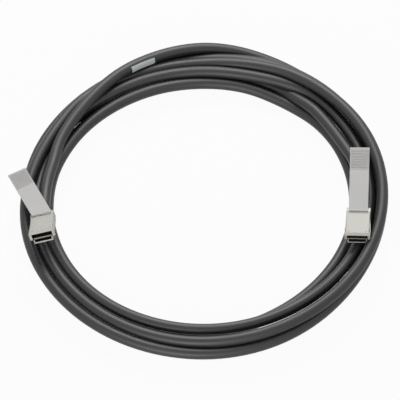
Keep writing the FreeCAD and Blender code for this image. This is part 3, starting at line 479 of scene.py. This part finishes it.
def plug_finishes(side):
    """Each CAD piece's material, for one plug."""
    # the hollows that take painted shade: inside the upper shell, and the lower shell's tray
    shell_hollow = ((0, 0.0068, 0.0044), (0.00728, 0.00675, 0.00313))
    tray_hollow = ((0, 0.00635, 0.0022), (0.00608, 0.0069, 0.00101))
    steel = (0.54, 0.52, 0.48)
    return {
        "upper_shell": cast_finish(f"upper_shell_metal_{side}", side, [shell_hollow]),
        "lower_shell": cast_finish(f"lower_shell_metal_{side}", side, [tray_hollow]),
        "shell_screws": steel_finish(f"screw_steel_{side}", side, (0.50, 0.50, 0.49), ACROSS),
        "emi_spring": steel_finish(f"spring_metal_{side}", side, (0.62, 0.60, 0.54), ALONG),
        "latch_slider": steel_finish(f"slider_steel_{side}", side, steel, ALONG, (0.5, 0.62)),
        "pull_tab": strap_finish(side),
        "paddle_card": board_finish(side),
        # gold dimmed with painted shade, for the shade inside the slot
        "contact_pads": even_finish(f"gold_contact_painted_shade_{side}", (0.30, 0.21, 0.07), 0.35, metallic=0.85),
        "memory_chip": even_finish(f"chip_resin_{side}", (0.02, 0.02, 0.022), 0.5),
        "capacitors": even_finish(f"capacitor_ceramic_{side}", (0.35, 0.22, 0.12), 0.45),
        "ground_bars": even_finish(f"ground_copper_{side}", (0.55, 0.35, 0.20), 0.35, metallic=0.8),
        "wire_pairs_upper": even_finish(f"pair_jacket_upper_{side}", (0.45, 0.46, 0.48), 0.35),
        "wire_pairs_lower": even_finish(f"pair_jacket_lower_{side}", (0.45, 0.46, 0.48), 0.35),
        "wire_comb": even_finish(f"comb_plastic_{side}", (0.70, 0.69, 0.63), 0.5),
        "crimp_ferrule": steel_finish(f"ferrule_metal_{side}", side, (0.58, 0.56, 0.50), ACROSS),
        "cable_core": even_finish(f"cable_shield_{side}", (0.50, 0.48, 0.44), 0.4, metallic=0.7),
    }


# ---------------------------------------------------------------- pieces


def make_piece(name, build, material, smooth=True):
    """A finished mesh piece, with its faces pointing outwards."""
    bmesh.ops.remove_doubles(build, verts=build.verts, dist=1e-7)
    bmesh.ops.recalc_face_normals(build, faces=build.faces)
    mesh = bpy.data.meshes.new(name)
    build.to_mesh(mesh)
    build.free()
    mesh.materials.append(material)
    for face in mesh.polygons:
        face.use_smooth = smooth
    piece = bpy.data.objects.new(name, mesh)
    bpy.context.scene.collection.objects.link(piece)
    return piece


LABEL_FIRST_CLOCK, LABEL_LAST_CLOCK = 331.7, 341.9  # degrees clockwise past +Y
LABEL_FROM, LABEL_TO = math.radians(2), math.radians(74)  # round the cable
LABEL_DEPTH, LABEL_PROUD = 0.0003, 0.00012  # under and over the jacket
LABEL_STEPS = 8


def label(points):
    """A blank film label along the cable, on the side that faces the front."""
    held = []
    for point in points:
        clock = math.degrees(math.atan2(point.x - RING_CENTRE[0], point.y - RING_CENTRE[1])) % 360
        if LABEL_FIRST_CLOCK <= clock <= LABEL_LAST_CLOCK:
            held.append(point)
        elif held:
            break
    towards = Vector((0, -math.cos(VIEW_HEIGHT), math.sin(VIEW_HEIGHT)))
    places = []
    for before, point, after in zip(held, held[1:], held[2:]):
        along = (after - before).normalized()
        out = (towards - along * towards.dot(along)).normalized()
        turn = Matrix((out, along.cross(out), along)).transposed().to_4x4()
        places.append(Matrix.Translation(point) @ turn)
    build = bmesh.new()
    radius = CABLE_DIAMETER / 2
    inner = build.verts.new((radius - LABEL_DEPTH, 0, 0))
    outer = build.verts.new((radius + LABEL_PROUD, 0, 0))
    start = [inner, outer, build.edges.new((inner, outer))]
    bmesh.ops.rotate(build, verts=[inner, outer], cent=(0, 0, 0),
                     matrix=Matrix.Rotation(LABEL_FROM, 3, "Z"))
    bmesh.ops.spin(build, geom=start, cent=(0, 0, 0), axis=(0, 0, 1),
                   angle=LABEL_TO - LABEL_FROM, steps=LABEL_STEPS)
    bmesh.ops.transform(build, matrix=places[0], verts=build.verts)
    first_end = build.faces[:]
    faces = first_end
    for before, after in zip(places, places[1:]):
        grown = bmesh.ops.extrude_face_region(build, geom=faces)["geom"]
        fresh = [item for item in grown if isinstance(item, bmesh.types.BMVert)]
        bmesh.ops.transform(build, matrix=after @ before.inverted(), verts=fresh)
        if faces is not first_end:
            bmesh.ops.delete(build, geom=faces, context="FACES_ONLY")
        faces = [item for item in grown if isinstance(item, bmesh.types.BMFace)]
    piece = make_piece("cable_label", build, LABEL_FILM, smooth=False)
    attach(piece, "cable")
    return piece


SPRING_X, SPRING_Z = 0.0067, 0.0059
SPRING_FRONT, SPRING_LENGTH = 0.0165, 0.0058
SPRING_RADIUS, SPRING_WIRE, SPRING_TURNS = 0.0009, 0.0003, 7
SPRING_STEPS, WIRE_SIDES = 14 * SPRING_TURNS, 8


def springs(side):
    """The two wound springs behind the slider's tongues."""
    build = bmesh.new()
    reach = SPRING_RADIUS - SPRING_WIRE / 2
    climb = (SPRING_LENGTH - SPRING_WIRE) / SPRING_STEPS
    for x in (-SPRING_X, SPRING_X):
        start = (x + reach, SPRING_FRONT + SPRING_WIRE / 2, SPRING_Z)
        wire = bmesh.ops.create_circle(build, segments=WIRE_SIDES, radius=SPRING_WIRE / 2,
                                       matrix=Matrix.Translation(start))["verts"]
        edges = list({edge for vert in wire for edge in vert.link_edges})
        bmesh.ops.spin(build, geom=wire + edges, cent=(x, start[1], SPRING_Z), axis=(0, 1, 0),
                       dvec=(0, climb, 0), angle=2 * math.pi * SPRING_TURNS, steps=SPRING_STEPS)
    bmesh.ops.holes_fill(build, edges=build.edges, sides=WIRE_SIDES)
    turn = plug_turn(side)
    place = Matrix.Translation(in_plug(side, (0, 0, 0))) @ turn.to_4x4()
    bmesh.ops.transform(build, matrix=place, verts=build.verts)
    piece = make_piece(f"wound_springs_{side}", build, SPRING_STEEL)
    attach(piece, "cable")
    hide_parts(f"return_springs_{side}")
    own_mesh(piece)


camera()
line = cable_curve("cable", CABLE_DIAMETER)
line.data.materials.append(JACKET)
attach(line, "cable")
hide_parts("cable_coil", "cable_lead_a", "cable_lead_b")
label_piece = label(followed_line())
for side in SIDES:
    springs(side)
    dressed = plug_finishes(side)
    for name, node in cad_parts.items():
        kind = name[:-2]
        if name.endswith(f"_{side}") and (kind in dressed or kind == "cable_boot"):
            node.data.materials.clear()
            node.data.materials.append(BOOT if kind == "cable_boot" else dressed[kind].material)

# ---------------------------------------------------------------- floor, light and backdrop


def seen_rays(tree):
    """1 for what the camera sees, straight on, in metal or through glass."""
    path = tree.nodes.new("ShaderNodeLightPath")
    seen = path.outputs["Is Camera Ray"]
    for kind in ("Is Glossy Ray", "Is Transmission Ray"):
        larger = tree.nodes.new("ShaderNodeMath")
        larger.operation = "MAXIMUM"
        tree.links.new(seen, larger.inputs[0])
        tree.links.new(path.outputs[kind], larger.inputs[1])
        seen = larger.outputs["Value"]
    return seen


FLOOR_SIZE, FLOOR_SHADE = 3.0, 0.70
SEEN_WHITE = 0.95  # how far the floor is plain white to the camera; the rest takes shadows
WORLD_LIGHT = 0.09


def pale_floor():
    mesh = bpy.data.meshes.new("floor")
    build = bmesh.new()
    bmesh.ops.create_grid(build, x_segments=1, y_segments=1, size=FLOOR_SIZE)
    build.to_mesh(mesh)
    build.free()
    floor = bpy.data.objects.new("floor", mesh)
    bpy.context.scene.collection.objects.link(floor)
    material = bpy.data.materials.new("floor_white")
    material.use_nodes = True
    tree = material.node_tree
    plain = tree.nodes["Principled BSDF"]
    plain.inputs["Base Color"].default_value = (FLOOR_SHADE, FLOOR_SHADE, FLOOR_SHADE, 1)
    plain.inputs["Roughness"].default_value = 0.9
    plain.inputs["Specular IOR Level"].default_value = 0.1
    white = tree.nodes.new("ShaderNodeEmission")
    share = tree.nodes.new("ShaderNodeMath")
    share.operation = "MULTIPLY"
    share.inputs[1].default_value = SEEN_WHITE
    tree.links.new(seen_rays(tree), share.inputs[0])
    blend = tree.nodes.new("ShaderNodeMixShader")
    tree.links.new(share.outputs["Value"], blend.inputs["Fac"])
    tree.links.new(plain.outputs["BSDF"], blend.inputs[1])
    tree.links.new(white.outputs["Emission"], blend.inputs[2])
    tree.links.new(blend.outputs["Shader"], tree.nodes["Material Output"].inputs["Surface"])
    mesh.materials.append(material)


def lamp(name, place, size, power):
    light = bpy.data.lights.new(name, "AREA")
    light.shape = "DISK"
    light.size = size
    light.energy = power
    thing = bpy.data.objects.new(name, light)
    thing.location = place
    thing.rotation_euler = (-Vector(place)).to_track_quat("-Z", "Y").to_euler()
    bpy.context.scene.collection.objects.link(thing)


def soft_world():
    world = bpy.data.worlds.new("world")
    bpy.context.scene.world = world
    world.use_nodes = True
    tree = world.node_tree
    dim = tree.nodes["Background"]
    dim.inputs["Color"].default_value = (1, 1, 1, 1)
    dim.inputs["Strength"].default_value = WORLD_LIGHT
    white = tree.nodes.new("ShaderNodeBackground")
    white.inputs["Color"].default_value = (1, 1, 1, 1)
    white.inputs["Strength"].default_value = 1.0
    blend = tree.nodes.new("ShaderNodeMixShader")
    tree.links.new(seen_rays(tree), blend.inputs["Fac"])
    tree.links.new(dim.outputs["Background"], blend.inputs[1])
    tree.links.new(white.outputs["Background"], blend.inputs[2])
    tree.links.new(blend.outputs["Shader"], tree.nodes["World Output"].inputs["Surface"])


pale_floor()
lamp("overhead", (0.0, 1.15, 1.1), 1.2, 22)
lamp("front", (-0.3, -1.35, 0.55), 1.0, 12)
soft_world()
bpy.context.scene.view_settings.view_transform = "Standard"
